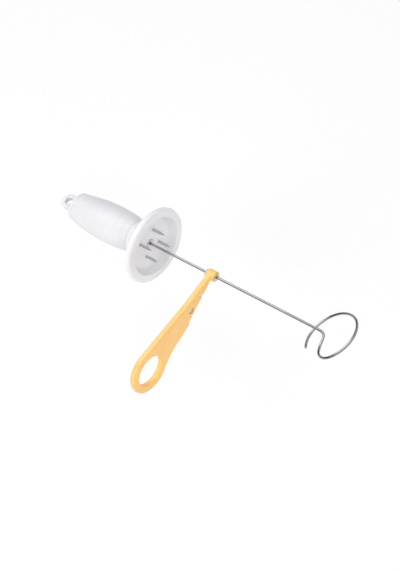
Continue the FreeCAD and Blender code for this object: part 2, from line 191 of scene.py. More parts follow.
class Solid:
    """Closed mesh that is shaped in millimetres before it becomes a piece of the tool."""

    def __init__(self, mesh: bpy.types.Mesh | None = None) -> None:
        """Starts with the faces of a mesh, or with none.

        Args:
            mesh: the mesh, if any.
        """
        self.skin = bmesh.new()
        if mesh:
            self.skin.from_mesh(mesh)

    def ring(self, points: Iterable[Vector]) -> list[bmesh.types.BMVert]:
        """Adds loose points and returns them in order."""
        return [self.skin.verts.new(point) for point in points]

    def band(self, one: Sequence[bmesh.types.BMVert], other: Sequence[bmesh.types.BMVert]) -> None:
        """Joins two rings by faces all round.

        Args:
            one: a ring, or a single point.
            other: another one, with as many points unless it is a single one.
        """
        count = max(len(one), len(other))
        for i in range(count):
            j = (i + 1) % count
            corners = [one[i % len(one)], one[j % len(one)],
                       other[j % len(other)], other[i % len(other)]]
            unique = list(dict.fromkeys(corners))
            if len(unique) > 2:
                self.skin.faces.new(unique)

    def closed(self) -> "Solid":
        """Turns all faces outwards and returns the solid."""
        bmesh.ops.recalc_face_normals(self.skin, faces=self.skin.faces)
        return self

    def moved(self, matrix: Matrix) -> "Solid":
        """Moves the solid and returns it."""
        self.skin.transform(matrix)
        return self

    def shifted(self, x: float = 0.0, y: float = 0.0, z: float = 0.0) -> "Solid":
        """Shifts the solid and returns it."""
        return self.moved(Matrix.Translation((x, y, z)))

    def around(self, degrees: float) -> "Solid":
        """Turns the solid about the skewer's axis and returns it."""
        return self.moved(Matrix.Rotation(math.radians(degrees), 4, "X"))

    def beside(self, other: "Solid") -> None:
        """Takes in another solid that it doesn't touch.

        Args:
            other: the other solid.
        """
        mesh = other.as_mesh("part")
        self.skin.from_mesh(mesh)
        bpy.data.meshes.remove(mesh)

    def as_mesh(self, name: str) -> bpy.types.Mesh:
        """Mesh of the solid, as it is now.

        Args:
            name: name of the mesh.

        Returns:
            The mesh.
        """
        mesh = bpy.data.meshes.new(name)
        self.skin.to_mesh(mesh)
        return mesh

    def joined(self, other: "Solid", how: Join) -> "Solid":
        """Unites the solid with another or cuts the other out of it.

        Args:
            other: the other solid.
            how: what to do with it.

        Returns:
            A new solid; the two stay as they are.
        """
        drafts = [bpy.data.objects.new("draft", solid.as_mesh("draft")) for solid in (self, other)]
        for draft in drafts:
            bpy.context.scene.collection.objects.link(draft)
        modifier = drafts[0].modifiers.new("joined", "BOOLEAN")
        modifier.operation, modifier.solver, modifier.object = how.value, "EXACT", drafts[1]
        bpy.context.view_layer.update()
        shown = drafts[0].evaluated_get(bpy.context.evaluated_depsgraph_get())
        made = bpy.data.meshes.new_from_object(shown)
        whole = Solid(made)
        bmesh.ops.remove_doubles(whole.skin, verts=whole.skin.verts, dist=1e-4)
        bpy.data.batch_remove([*drafts, *(draft.data for draft in drafts), made])
        return whole

    def __add__(self, other: "Solid") -> "Solid":
        """The two solids as one."""
        return self.joined(other, Join.UNITE)

    def __sub__(self, other: "Solid") -> "Solid":
        """The solid with the other cut out of it."""
        return self.joined(other, Join.CUT)


def turned(profile: Sequence[Vector], sides: int, ring_shaped: bool = False,
           rise: Callable[[float, float], float] = lambda x, angle: 0.0) -> Solid:
    """Solid of revolution about the skewer's axis.

    Args:
        profile: points whose X is the place along the axis and Y the radius.
        sides: number of faces round the axis.
        ring_shaped: whether the last point runs on to the first, as on a tube.
        rise: what a place along the axis and an angle add to the radius.

    Returns:
        The solid.
    """
    solid = Solid()
    rings = []
    for point in profile:
        angles = [TURN * i / sides for i in range(sides)] if point.y > 0 else []
        line = [vec(point.x) + polar(point.y + rise(point.x, angle), angle) for angle in angles]
        rings.append(solid.ring(line or [vec(point.x)]))
    for one, other in zip(rings, rings[1:] + (rings[:1] if ring_shaped else [])):
        solid.band(one, other)
    return solid.closed()


def lofted(sections: Iterable[Sequence[Vector]]) -> Solid:
    """Solid that runs through equal closed sections, with a flat face at each end.

    Args:
        sections: the points of each section.

    Returns:
        The solid.
    """
    solid = Solid()
    rings = [solid.ring(section) for section in sections]
    for one, other in zip(rings, rings[1:]):
        solid.band(one, other)
    for end in (rings[0], rings[-1]):
        solid.skin.faces.new(end)
    return solid.closed()


def slab(outline: Sequence[Vector], low: float, high: float, rounding: float = 0.0,
         seam: float = 0.0, steps: int = 5) -> Solid:
    """Flat plate across X, with rounded edges and a fine seam round the middle of its wall.

    Args:
        outline: closed line in the YZ plane.
        low: X of one face.
        high: X of the other face.
        rounding: radius of the edges.
        seam: height of the mould's seam.
        steps: number of bands in each rounded edge.

    Returns:
        The plate.
    """
    start = [(low + far, depth) for far, depth in softened(rounding, steps)] if rounding else [
        (low, 0.0)]
    layers = start + [(low + high - x, depth) for x, depth in reversed(start)]
    if seam:
        middle = (low + high) / 2
        layers[len(start):len(start)] = [(middle + x, -rise) for x, rise in seam_bead(seam)]
    return lofted([point + vec(x) for point in inset(outline, depth)] for x, depth in layers)


def swept(route: Sequence[tuple[Vector, float]], sides: int) -> Solid:
    """Round bar along a route.

    Args:
        route: points of its middle line, each with the bar's radius there.
        sides: number of faces round it.

    Returns:
        The bar.
    """
    sections = []
    across = vec(0, 0, 1)
    for i, (point, radius) in enumerate(route):
        ahead = (route[min(i + 1, len(route) - 1)][0] - route[max(i - 1, 0)][0]).normalized()
        across = (across - ahead * across.dot(ahead)).normalized()
        other = ahead.cross(across)
        sections.append([point + (across * math.cos(TURN * k / sides)
                                  + other * math.sin(TURN * k / sides)) * radius
                         for k in range(sides)])
    return lofted(sections)


def rod(radius: float, start: float, end: float, y: float = 0.0, z: float = 0.0) -> Solid:
    """Plain round cutter along X, for holes."""
    line = lathe_line((start, 0, 0), (start, radius, 0), (end, radius, 0), (end, 0, 0))
    return turned(line, sides=48).shifted(y=y, z=z)


def mouthed_hole(radius: float, half: float, mouth: float, seam: float) -> Solid:
    """What a round hole along X takes away.

    Args:
        radius: radius of the hole.
        half: half the thickness of the plate.
        mouth: rounding of both of its mouths.
        seam: height of the mould's seam halfway.

    Returns:
        The form to cut away, about the origin.
    """
    line = [vec(-half - mouth), vec(-half - mouth, radius + mouth)]
    line += [vec(-half + far, radius + depth) for far, depth in softened(mouth, 7)]
    line += [vec(x, radius - rise) for x, rise in seam_bead(seam)[:2]]
    return turned(line + [vec(-point.x, point.y) for point in reversed(line)], sides=144)


# ---------------- shader graphs


class Signal:
    """Output of a shader node, which can be used in sums with numbers and other signals."""

    def __init__(self, graph: "Graph", socket: bpy.types.NodeSocket) -> None:
        """Wraps a socket of a graph."""
        self.graph = graph
        self.socket = socket

    def _sum(self, operation: str, first: "Signal | float", second: "Signal | float") -> "Signal":
        """Adds a Math node for two values."""
        return self.graph.node("ShaderNodeMath", {"operation": operation}, {0: first, 1: second})

    def __add__(self, other: "Signal | float") -> "Signal":
        """Sum."""
        return self._sum("ADD", self, other)

    __radd__ = __add__

    def __sub__(self, other: "Signal | float") -> "Signal":
        """Difference."""
        return self._sum("SUBTRACT", self, other)

    def __rsub__(self, other: float) -> "Signal":
        """Difference that starts with a number."""
        return self._sum("SUBTRACT", other, self)

    def __mul__(self, other: "Signal | float") -> "Signal":
        """Product."""
        return self._sum("MULTIPLY", self, other)

    __rmul__ = __mul__


class Graph:
    """Node tree of a material or of the world."""

    def __init__(self, tree: bpy.types.NodeTree) -> None:
        """Empties the tree."""
        self.tree = tree
        tree.nodes.clear()

    def node(self, kind: str, settings: dict | None = None, inputs: dict | None = None,
             output: int | str = 0) -> Signal:
        """Adds a node.

        Args:
            kind: type of the node.
            settings: its own settings, set first; "stops" holds a ramp's (place, grey) pairs.
            inputs: a value or a signal for each socket, by name or number.
            output: the output that is wanted.

        Returns:
            That output, or the first input of a node that has no output.
        """
        made = self.tree.nodes.new(kind)
        for name, value in (settings or {}).items():
            if name == "stops":
                stops = made.color_ramp.elements
                while len(stops) < len(value):
                    stops.new(1.0)
                for stop, (place, grey) in zip(stops, value):
                    stop.position, stop.color = place, (grey, grey, grey, 1)
            else:
                setattr(made, name, value)
        for name, value in (inputs or {}).items():
            socket = made.inputs[name]
            if isinstance(value, Signal):
                self.tree.links.new(value.socket, socket)
            elif socket.type == "RGBA":
                socket.default_value = (*value, 1.0)
            else:
                socket.default_value = value
        return Signal(self, made.outputs[output] if len(made.outputs) else made.inputs[0])

    def place(self) -> Signal:
        """Coordinates in the frame of the tool, in metres."""
        return self.node("ShaderNodeTexCoord", output="Object")

    def stretched(self, place: Signal, stretch: Triple, turn: Triple = (0, 0, 0)) -> Signal:
        """Coordinates turned and then stretched along each axis."""
        return self.node("ShaderNodeMapping", {"vector_type": "POINT"},
                         {"Vector": place, "Scale": stretch, "Rotation": turn})

    def noise(self, place: Signal, scale: float, detail: float, roughness: float = 0.5) -> Signal:
        """Soft noise from 0 to 1 with a grain of 1 / scale."""
        return self.node("ShaderNodeTexNoise", None, {
            "Vector": place, "Scale": scale, "Detail": detail, "Roughness": roughness})

    def ramp(self, signal: Signal, *stops: tuple[float, float]) -> Signal:
        """Grey that follows a signal through (place, grey) stops."""
        return self.node("ShaderNodeValToRGB", {"stops": stops}, {"Fac": signal})

    def blend(self, share: Signal, first: Triple | Signal, second: Triple | Signal) -> Signal:
        """Colour between two colours."""
        return self.node("ShaderNodeMix", {"data_type": "RGBA"},
                         {"Factor": share, 6: first, 7: second}, output=2)

    def bump(self, height: Signal, distance: float) -> Signal:
        """Normal of a surface with this height; the distance is in metres."""
        return self.node("ShaderNodeBump", None,
                         {"Height": height, "Distance": distance, "Strength": 1.0})

    def attribute(self, name: str, output: str) -> Signal:
        """Value that is kept on the mesh: its Fac for a number, its Vector for a vector."""
        return self.node("ShaderNodeAttribute", {"attribute_name": name}, output=output)

    def rays(self, *kinds: str) -> Signal:
        """1 for rays of these kinds, such as Is Camera Ray."""
        return sum(self.node("ShaderNodeLightPath", output=kind) for kind in kinds)

    def light(self, colour: Triple | Signal, strength: float) -> Signal:
        """Light that comes from the room."""
        return self.node("ShaderNodeBackground", None, {"Color": colour, "Strength": strength})

    def surface(self, shader: Signal) -> None:
        """Sends a shader to the material's output."""
        self.node("ShaderNodeOutputMaterial", None, {"Surface": shader})


def new_material(name: str) -> tuple[bpy.types.Material, Graph]:
    """A material and its empty graph.

    Args:
        name: name of the material.

    Returns:
        Both of them.
    """
    material = bpy.data.materials.new(name)
    material.use_nodes = True
    return material, Graph(material.node_tree)


# ---------------- finishes


@dataclass(frozen=True)
class Finish:
    """What a piece is made of: a material, with the name of a slot of the record kept beside it."""

    name: str
    slot: str
    colour: Triple

    def shader(self, graph: Graph) -> Signal:
        """The shader of the material, which each kind of finish makes in its own way."""
        raise NotImplementedError

    def material(self) -> bpy.types.Material:
        """What a mesh takes, made when the first piece asks for it.

        Returns:
            The material.
        """
        material = bpy.data.materials.get(self.name)
        if material is None:
            material, graph = new_material(self.name)
            graph.surface(self.shader(graph))
        return material


@dataclass(frozen=True)
class MouldedPlastic(Finish):
    """Glossy moulded plastic: its mould's grain, flow clouds, light scratches, rubbed edges with a
    painted highlight, and painted shade in its nooks.
    """

    deep_colour: Triple
    # paler colour of rubbed edges: partly wear, partly a painted highlight
    edge_wear_highlight_colour: Triple
    roughness: float = 0.3
    grain: float = 0.00002
    glow: float = 0.08

    def shader(self, graph: Graph) -> Signal:
        """Plastic that lets a little light in, paler on its edges from wear and a painted
        highlight, and darker in its nooks from painted shade.

        Args:
            graph: the material's graph.

        Returns:
            The shader.
        """
        place = graph.place()
        clouds = graph.ramp(graph.noise(place, 48.0, 3.0), (0.32, 0.0), (0.68, 1.0))
        flow = graph.ramp(graph.noise(graph.stretched(place, (1.0, 0.22, 0.3)), 300.0, 2.0),
                          (0.3, 0.0), (0.7, 1.0))
        grain = graph.noise(place, 2600.0, 3.0, 0.6)
        peel = graph.noise(place, 900.0, 1.0)
        handled = graph.ramp(graph.noise(place, 120.0, 4.0, 0.65), (0.42, 0.0), (0.66, 1.0))
        scratches = graph.ramp(
            graph.noise(graph.stretched(place, (1.0, 9.0, 1.4), (0.4, 0.7, 0.2)), 380.0, 3.0, 0.7),
            (0.62, 0.0), (0.67, 1.0))
        bend = graph.attribute("bend", "Fac")
        patches = graph.ramp(graph.noise(place, 420.0, 4.0, 0.7), (0.38, 0.25), (0.62, 1.0))
        # paler convex edges: partly wear, partly a painted highlight of the rounded edges
        wear_highlight = graph.ramp(bend, (0.3, 0.0), (0.95, 1.0)) * patches
        # painted shade: concave places are darkened towards the deep colour
        painted_nook_shade = graph.ramp(-1.0 * bend, (0.2, 0.0), (1.0, 1.0))
        moulded = graph.blend(clouds * 0.6 + flow * 0.4, self.colour, self.deep_colour)
        # rubbed: the moulded colour with the wear and painted highlight on its edges
        rubbed = graph.blend(wear_highlight * 0.5, moulded, self.edge_wear_highlight_colour)
        height = grain * 0.3 + peel * 0.9 + clouds * 1.2 - scratches * 0.3
        return graph.node("ShaderNodeBsdfPrincipled", None, {
            # painted shade in the nooks, blended into the base colour
            "Base Color": graph.blend(painted_nook_shade * 0.5, rubbed, self.deep_colour),
            "Roughness": (self.roughness + grain * 0.05 + handled * 0.08 + scratches * 0.08
                          - wear_highlight * 0.1 + painted_nook_shade * 0.08),
            "Normal": graph.bump(height, self.grain),
            "IOR": 1.49,
            "Subsurface Weight": self.glow,
            "Subsurface Radius": (0.0016, 0.0014, 0.0012),
            "Subsurface Scale": 1.0,
        })


@dataclass(frozen=True)
class Metal(Finish):
    """Bare metal, whose kinds differ in the marks that their making leaves."""

    roughness: float
    dulling: float = 0.8
    relief: float = 0.000006

    def marks(self, graph: Graph) -> tuple[Signal, Signal, Signal]:
        """Share of dull colour, added roughness and height, all over the surface."""
        raise NotImplementedError

    def shader(self, graph: Graph) -> Signal:
        """Metal with its marks.

        Args:
            graph: the material's graph.

        Returns:
            The shader.
        """
        share, added, height = self.marks(graph)
        dull = tuple(part * self.dulling for part in self.colour)
        return graph.node("ShaderNodeBsdfPrincipled", None, {
            "Base Color": graph.blend(share, self.colour, dull),
            "Metallic": 1.0,
            "Roughness": self.roughness + added,
            "Normal": graph.bump(height, self.relief),
        })


class DrawnWire(Metal):
    """Bright spring-hard wire with fine lines from the drawing die along it."""

    def marks(self, graph: Graph) -> tuple[Signal, Signal, Signal]:
        """Lines along the wire, blotches and rubbed stretches, laid out as the mesh says.

        Args:
            graph: the material's graph.

        Returns:
            Share of dull colour, added roughness and height.
        """
        lay = graph.attribute("lay", "Vector")
        lines = graph.noise(graph.stretched(lay, (0.02, 1.0, 1.0)), 3.2, 4.0, 0.7)
        blotches = graph.noise(graph.stretched(lay, (0.3, 1.0, 1.0)), 0.5, 3.0, 0.6)
        rubbed = graph.ramp(graph.noise(lay, 0.16, 3.0, 0.7), (0.45, 0.0), (0.7, 1.0))
        return lines * 0.5 + blotches * 0.4, lines * 0.12 + rubbed * 0.08, lines + blotches * 0.4


class GroundBlade(Metal):
    """Rolled stainless strip with a ground bevel, whose scratches run square to the edge."""

    def marks(self, graph: Graph) -> tuple[Signal, Signal, Signal]:
        """Rolling lines, and the wheel's scratches on the faces that the mesh marks as ground.

        Args:
            graph: the material's graph.

        Returns:
            Share of dull colour, added roughness and height.
        """
        place = graph.place()
        ground = graph.attribute("ground", "Fac")
        rolled = graph.noise(graph.stretched(place, (1.0, 0.05, 1.0)), 5200.0, 3.0, 0.7)
        wheel = graph.noise(graph.stretched(place, (0.12, 1.0, 0.12)), 5200.0, 4.0, 0.75)
        stains = graph.noise(place, 230.0, 4.0, 0.6)
        lines = rolled * (1.0 - ground) + wheel * ground
        return (lines * 0.45 + stains * 0.35, lines * 0.14 + ground * 0.08 + stains * 0.06, lines)


class TurnedSteel(Metal):
    """Small steel parts from the lathe or the press, with fine rings about their own axis."""

    def marks(self, graph: Graph) -> tuple[Signal, Signal, Signal]:
        """Rings about the axis that the mesh gives, and stains.

        Args:
            graph: the material's graph.

        Returns:
            Share of dull colour, added roughness and height.
        """
        rings = graph.noise(graph.attribute("lathe", "Vector"), 9.0, 3.0, 0.7)
        stains = graph.noise(graph.place(), 420.0, 3.0, 0.6)
        return rings * 0.4 + stains * 0.4, rings * 0.1 + stains * 0.06, rings


WHITE = MouldedPlastic("white_moulding", "white_plastic", (0.77, 0.765, 0.79),
                       (0.71, 0.705, 0.735), (0.81, 0.81, 0.825))
# the grip is the dish's white plastic, painted a shade darker so that its lit top doesn't wash out;
# its rougher, coarser grain is its own
SHADED_GRIP_WHITE = MouldedPlastic("white_grip_moulding", "white_plastic", (0.70, 0.70, 0.72),
                            (0.64, 0.64, 0.665), (0.75, 0.75, 0.77), roughness=0.4, grain=0.00003)
YELLOW = MouldedPlastic("yellow_moulding", "yellow_plastic", (0.90, 0.565, 0.20),
                        (0.86, 0.495, 0.15), (0.94, 0.69, 0.36), roughness=0.32)
WIRE = DrawnWire("drawn_wire", "bright_wire", (0.5, 0.5, 0.51), roughness=0.1, dulling=0.82)
BLADE = GroundBlade("ground_blade", "blade_steel", (0.72, 0.72, 0.73), roughness=0.2,
                    relief=0.000008)
STEEL = TurnedSteel("turned_steel", "stainless", (0.68, 0.68, 0.69), roughness=0.24)


# ---------------- pieces


def keep_numbers(mesh: bpy.types.Mesh, name: str, numbers: Sequence[float]) -> None:
    """Keeps a number for each face of a mesh, for its finish to read."""
    mesh.attributes.new(name, "FLOAT", "FACE").data.foreach_set("value", numbers)


def keep_vectors(mesh: bpy.types.Mesh, name: str, vectors: Iterable[Vector]) -> None:
    """Keeps a vector for each point of a mesh, for its finish to read."""
    kept = mesh.attributes.new(name, "FLOAT_VECTOR", "POINT")
    kept.data.foreach_set("vector", [part for vector in vectors for part in vector])


def keep_lathe(piece: bpy.types.Object, middle: Vector = vec(0), axis: Vector = AXIS) -> None:
    """Keeps each point's place along and distance from an axis, for the rings of a lathe.

    Args:
        piece: the piece, in metres.
        middle: a point of the axis, in millimetres.
        axis: direction of the axis.
    """
    outs = [vertex.co / MM - middle for vertex in piece.data.vertices]
    keep_vectors(piece.data, "lathe", [
        vec(out.dot(axis), (out - axis * out.dot(axis)).length) for out in outs])


def bend_of(face: bmesh.types.BMFace) -> float:
    """How sharply a surface bends outwards at a face.

    Args:
        face: the face, in millimetres.

    Returns:
        1 over the radius of the bend, within 2 either way.
    """
    edges = [edge for edge in face.edges if len(edge.link_faces) == 2]
    turns = sum(edge.calc_face_angle_signed(0.0) * edge.calc_length() for edge in edges)
    return max(-2.0, min(2.0, turns / (2 * max(face.calc_area(), 1e-9))))


def add_piece(solid: Solid, name: str, body: str, node: str, finish: Finish,
              crease: float = 32.0) -> bpy.types.Object:
    """Turns a solid into a piece of the tool.

    Args:
        solid: the shape, in millimetres.
        name: name of the piece.
        body: the moving body that it rides on.
        node: the node that it stands for.
        finish: what it is made of.
        crease: edges sharper than this angle stay sharp, in degrees.

    Returns:
        The piece, in metres.
    """
    bends = [bend_of(face) for face in solid.skin.faces]
    mesh = solid.moved(Matrix.Scale(MM, 4)).as_mesh(name)
    solid.skin.free()
    keep_numbers(mesh, "bend", bends)
    mesh.materials.append(finish.material())
    mesh.polygons.foreach_set("use_smooth", [True] * len(mesh.polygons))
    mesh.set_sharp_from_angle(angle=math.radians(crease))
    piece = bpy.data.objects.new(name, mesh)
    bpy.context.scene.collection.objects.link(piece)
    piece.modifiers.new("even_normals", "WEIGHTED_NORMAL").keep_sharp = True
    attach(piece, body)
    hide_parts(node)
    log.info("%s: %d faces, rides on %s, stands for %s", name, len(mesh.polygons), body, node)
    return piece


# ---------------- holder


@dataclass
class HolderSet:
    """White dish with its neck and ribs, steel liner and prongs, and the grip behind it."""

    dish_depth: float = 6.0
    floor_radius: float = 18.8
    floor_thickness: float = 2.6
    floor_rounding: float = 2.0
    mouth_radius: float = 21.6
    mouth_rounding: float = 0.9
    rim_radius: float = 27.5
    rim_depth: float = 5.0
    rim_rounding: float = 2.1
    rib_count: int = 8
    rib_thickness: float = 1.6
    rib_length: float = 6.5
    rib_radius: float = 20.0
    rib_root: float = 1.6
    neck_radius: float = 12.0
    neck_length: float = 9.5
    neck_rounding: float = 3.5
    spigot_radius: float = 9.78
    spigot_length: float = 8.0
    core_radius: float = 7.98
    core_floor: float = -6.0
    core_rounding: float = 0.9
    boss_radius: float = 4.6
    boss_length: float = 22.0
    pilot_radius: float = 1.47
    pilot_depth: float = 14.0
    pin_mark_radius: float = 2.0
    pin_mark_depth: float = 0.12
    pin_mark_circle: float = 16.2
    liner_radius: float = 2.16
    liner_bore: float = 0.96
    liner_length: float = 22.0
    liner_flange: float = 3.4
    liner_rise: float = 0.5
    prong_circle: float = 10.0
    prong_places: tuple[float, ...] = (45.0, 135.0, 225.0, 315.0)
    prong_radius: float = 1.0
    prong_length: float = 10.0
    prong_taper: float = 3.6
    shank_radius: float = 1.4
    shank_depth: float = 4.6
    fit: float = 0.02
    grip_length: float = 54.0
    grip_wall: float = 2.2
    belly: tuple[float, float] = (14.2, 11.8)
    tail: tuple[float, float] = (10.8, 9.4)
    oval_sides: int = 120
    web_front: float = 34.3
    web_rear: float = 37.5
    screw_hole: float = 1.7
    washer_radius: float = 4.2
    washer_thickness: float = 0.7
    screw_radius: float = 1.45
    screw_length: float = 13.0
    screw_taper: float = 2.0
    taper_slope: float = 0.556
    thread_start: float = 0.8
    thread_pitch: float = 1.1
    thread_depth: float = 0.22
    thread_flank: float = 2.4
    head_radius: float = 3.0
    head_height: float = 2.1
    recess_depth: float = 1.05
    recess_arm: tuple[float, float] = (0.36, 1.5)
    cap_thickness: float = 3.2
    cap_rounding: float = 1.5
    skirt_wall: float = 1.8
    skirt_length: float = 5.6
    tongue_half: float = 6.0
    tongue_reach: float = 8.0
    tongue_thickness: float = 4.0
    eye_radius: float = 2.75
    seam: float = 0.06

    @property
    def neck_end(self) -> float:
        """Distance from the dish's floor back to the grip."""
        return self.floor_thickness + self.neck_length

    @property
    def screw_seat(self) -> float:
        """Place of the face that the screw's head presses on."""
        return -self.web_rear - self.washer_thickness

    def rib(self) -> Solid:
        """One web between the neck and the back of the dish, with softened edges.

        Returns:
            The web.
        """
        back, half = self.floor_thickness, self.rib_thickness / 2
        inner = self.neck_radius - self.rib_root
        line = plate_line(
            (-back / 2, inner, 0), (-back - self.rib_length, inner, 0),
            (-back - self.rib_length, self.neck_radius, 0.5), (-back, self.rib_radius, 0.5),
            (-back / 2, self.rib_radius, 0))
        return slab(line, -half, half, rounding=0.35, steps=4).moved(ACROSS_Z)

    def moulding(self) -> None:
        """Dish, ribs, neck and boss in one moulding."""
        back, front = -self.floor_thickness, self.dish_depth
        rim_back, seam_place = front - self.rim_depth, front - self.rim_depth / 2
        spigot_end = -self.neck_end - self.spigot_length
        boss_end = -self.neck_end - self.boss_length
        body = turned(lathe_line(
            (0, 0, 0),
            (0, self.floor_radius, self.floor_rounding),
            (front, self.mouth_radius, self.mouth_rounding),
            (front, self.rim_radius, self.rim_rounding),
            *((seam_place - x, self.rim_radius + rise, 0) for x, rise in seam_bead(self.seam)),
            (rim_back, self.rim_radius, self.rim_rounding),
            (rim_back, self.mouth_radius - back / 2, self.mouth_rounding),
            (back, self.floor_radius - back / 2, self.floor_rounding),
            (back, self.neck_radius, self.neck_rounding),
            (-self.neck_end, self.neck_radius, 0.3),
            (-self.neck_end, self.spigot_radius, 0),
            (spigot_end, self.spigot_radius, 0.5),
            (spigot_end, self.core_radius, 0.2),
            (self.core_floor, self.core_radius, self.core_rounding),
            (self.core_floor, self.boss_radius, self.core_rounding),
            (boss_end, self.boss_radius, 0.4),
            (boss_end, 0, 0), step=9.0), sides=192)
        ribs = Solid()
        for i in range(self.rib_count):
            ribs.beside(self.rib().around(360 / self.rib_count * i))
        holes = rod(self.liner_radius + self.fit, -self.liner_length, front)
        holes.beside(rod(self.pilot_radius, boss_end - 1, boss_end + self.pilot_depth))
        for angle in self.prong_places:
            seat = rod(self.shank_radius + self.fit, -self.shank_depth, front, y=self.prong_circle)
            pin_mark = rod(self.pin_mark_radius, back - 1, back + self.pin_mark_depth,
                           y=self.pin_mark_circle)
            holes.beside(seat.around(angle))
            holes.beside(pin_mark.around(angle + 180 / self.rib_count))
        add_piece(body + ribs - holes, "holder_moulding", "holder", "holder_dish", WHITE)

    def liner(self) -> None:
        """Steel liner of the skewer's hole."""
        end, bore, rise = -self.liner_length, self.liner_bore, self.liner_rise
        tube = turned(lathe_line(
            (end, bore, 0.15), (end, self.liner_radius, 0.2), (0, self.liner_radius, 0),
            (0, self.liner_flange, 0.08), (rise, self.liner_flange - 0.25, 0.15),
            (rise, bore + 0.5, 0.15), (0, bore, 0.3), closed=True, step=15.0),
            sides=64, ring_shaped=True)
        keep_lathe(add_piece(tube, "skewer_liner", "holder", "socket_tube", STEEL))

    def prongs(self) -> None:
        """Pointed pins in the dish's floor."""
        foot, tip, blunt = -self.shank_depth, self.prong_length, 0.15
        line = lathe_line(
            (foot, 0, 0), (foot, self.shank_radius, 0.15), (0, self.shank_radius, 0),
            (0, self.prong_radius, 0), (tip - self.prong_taper, self.prong_radius, 1.2),
            (tip, blunt, 0.1), (tip, 0, 0), step=6.0)
        for number, angle in enumerate(self.prong_places, start=1):
            pin = turned(line, sides=40).shifted(y=self.prong_circle).around(angle)
            piece = add_piece(pin, f"prong_pin_{number}", "holder", f"prong_{number}", STEEL)
            keep_lathe(piece, polar(self.prong_circle, math.radians(angle)))

    def half_widths(self, behind: float) -> tuple[float, float]:
        """Half width and half height of the grip, on parabolas from neck over belly to tail.

        Args:
            behind: distance behind the neck.

        Returns:
            Both of them.
        """
        share = behind / self.grip_length
        near, far = (1 - share) * (1 - 2 * share), share * (2 * share - 1)
        middle = 4 * share * (1 - share)
        return tuple(near * self.neck_radius + middle * belly + far * tail
                     for belly, tail in zip(self.belly, self.tail))

    def oval(self, behind: float, depth: float, seam: float = 0.0) -> list[Vector]:
        """Section across the grip.

        Args:
            behind: distance behind the neck.
            depth: how far it lies inside the grip's surface.
            seam: height of the mould's seam on both sides.

        Returns:
            The points of the section.
        """
        half_y, half_z = (half - depth for half in self.half_widths(behind))
        points = []
        for i in range(self.oval_sides):
            on_seam = i % (self.oval_sides // 2) == 0
            for place, rise in seam_bead(self.seam) if on_seam else ((0.0, 0.0),):
                turn = TURN * i / self.oval_sides + place / half_y
                y, z = half_y * math.cos(turn), half_z * math.sin(turn)
                out = vec(0, y / half_y ** 2, z / half_z ** 2).normalized()
                lift = rise if seam else 0.0
                points.append(vec(-self.neck_end - behind, y, z) + out * lift)
        return points

    def grip(self) -> None:
        """Hollow swelling grip with a web inside and softened ends."""
        ends = softened(0.35, 4)
        stations = ends + [(behind, 0.0) for behind in spread(1.0, self.grip_length - 1.0, 48)]
        stations += [(self.grip_length - far, depth) for far, depth in reversed(ends)]
        shell = lofted(self.oval(behind, depth, self.seam) for behind, depth in stations)
        for start, end in ((-1.0, self.web_front - self.neck_end),
                           (self.web_rear - self.neck_end, self.grip_length + 1.0)):
            shell = shell - lofted(self.oval(behind, self.grip_wall)
                                   for behind in spread(start, end, 16))
        shell = shell - rod(self.screw_hole, -self.web_rear - 0.5, -self.web_front + 0.5)
        add_piece(shell, "grip_moulding", "holder", "grip_shell", SHADED_GRIP_WHITE)

    def washer(self) -> None:
        """Washer under the screw's head."""
        corners = [(x, radius, 0.1) for x, radius in (
            (self.screw_seat, self.screw_hole), (self.screw_seat, self.washer_radius),
            (-self.web_rear, self.washer_radius), (-self.web_rear, self.screw_hole))]
        disc = turned(lathe_line(*corners, closed=True, step=30.0), sides=64, ring_shaped=True)
        keep_lathe(add_piece(disc, "grip_fixing_washer", "holder", "grip_washer", STEEL))

    def screw(self) -> None:
        """Self-tapping pan-head screw with a cross recess that holds the grip from inside."""
        seat, radius, pitch = self.screw_seat, self.screw_radius, self.thread_pitch
        top, tip = seat - self.head_height, seat + self.screw_length
        start, taper, step = seat + self.thread_start, tip - self.screw_taper, pitch / 8
        line = lathe_line((top, 0, 0), (top, self.head_radius, 1.05),
                          (seat, self.head_radius, 0.15), (seat, radius, 0), step=10.0)
        line += [vec(start + step * i, radius) for i in range(math.ceil((taper - start) / step))]
        line += [vec(taper + step * i, radius - self.taper_slope * step * i)
                 for i in range(int(self.screw_taper / step))]

        def thread(x: float, angle: float) -> float:
            """Cut of the thread into the shank, 0 on its crest and on the head.

            Args:
                x: place along the axis.
                angle: angle about the axis, in radians.

            Returns:
                What it adds to the radius.
            """
            phase = (x / pitch - angle / TURN) % 1.0
            cut = self.thread_depth * min(1.0, self.thread_flank * abs(phase - 0.5))
            return -cut if x > start - step else 0.0

        screw = turned(line + [vec(tip)], sides=48, rise=thread)
        for half_y, half_z in (self.recess_arm, self.recess_arm[::-1]):
            slot = plate_line((-half_y, -half_z, 0), (half_y, -half_z, 0),
                              (half_y, half_z, 0), (-half_y, half_z, 0))
            screw = screw - slab(slot, top - 1.0, top + self.recess_depth)
        keep_lathe(add_piece(screw, "grip_fixing_screw", "holder", "grip_screw", STEEL))

    def end_oval(self, depth: float, forward: float) -> list[Vector]:
        """Section of the grip's end, moved along the axis."""
        return [point + vec(forward) for point in self.oval(self.grip_length, depth)]

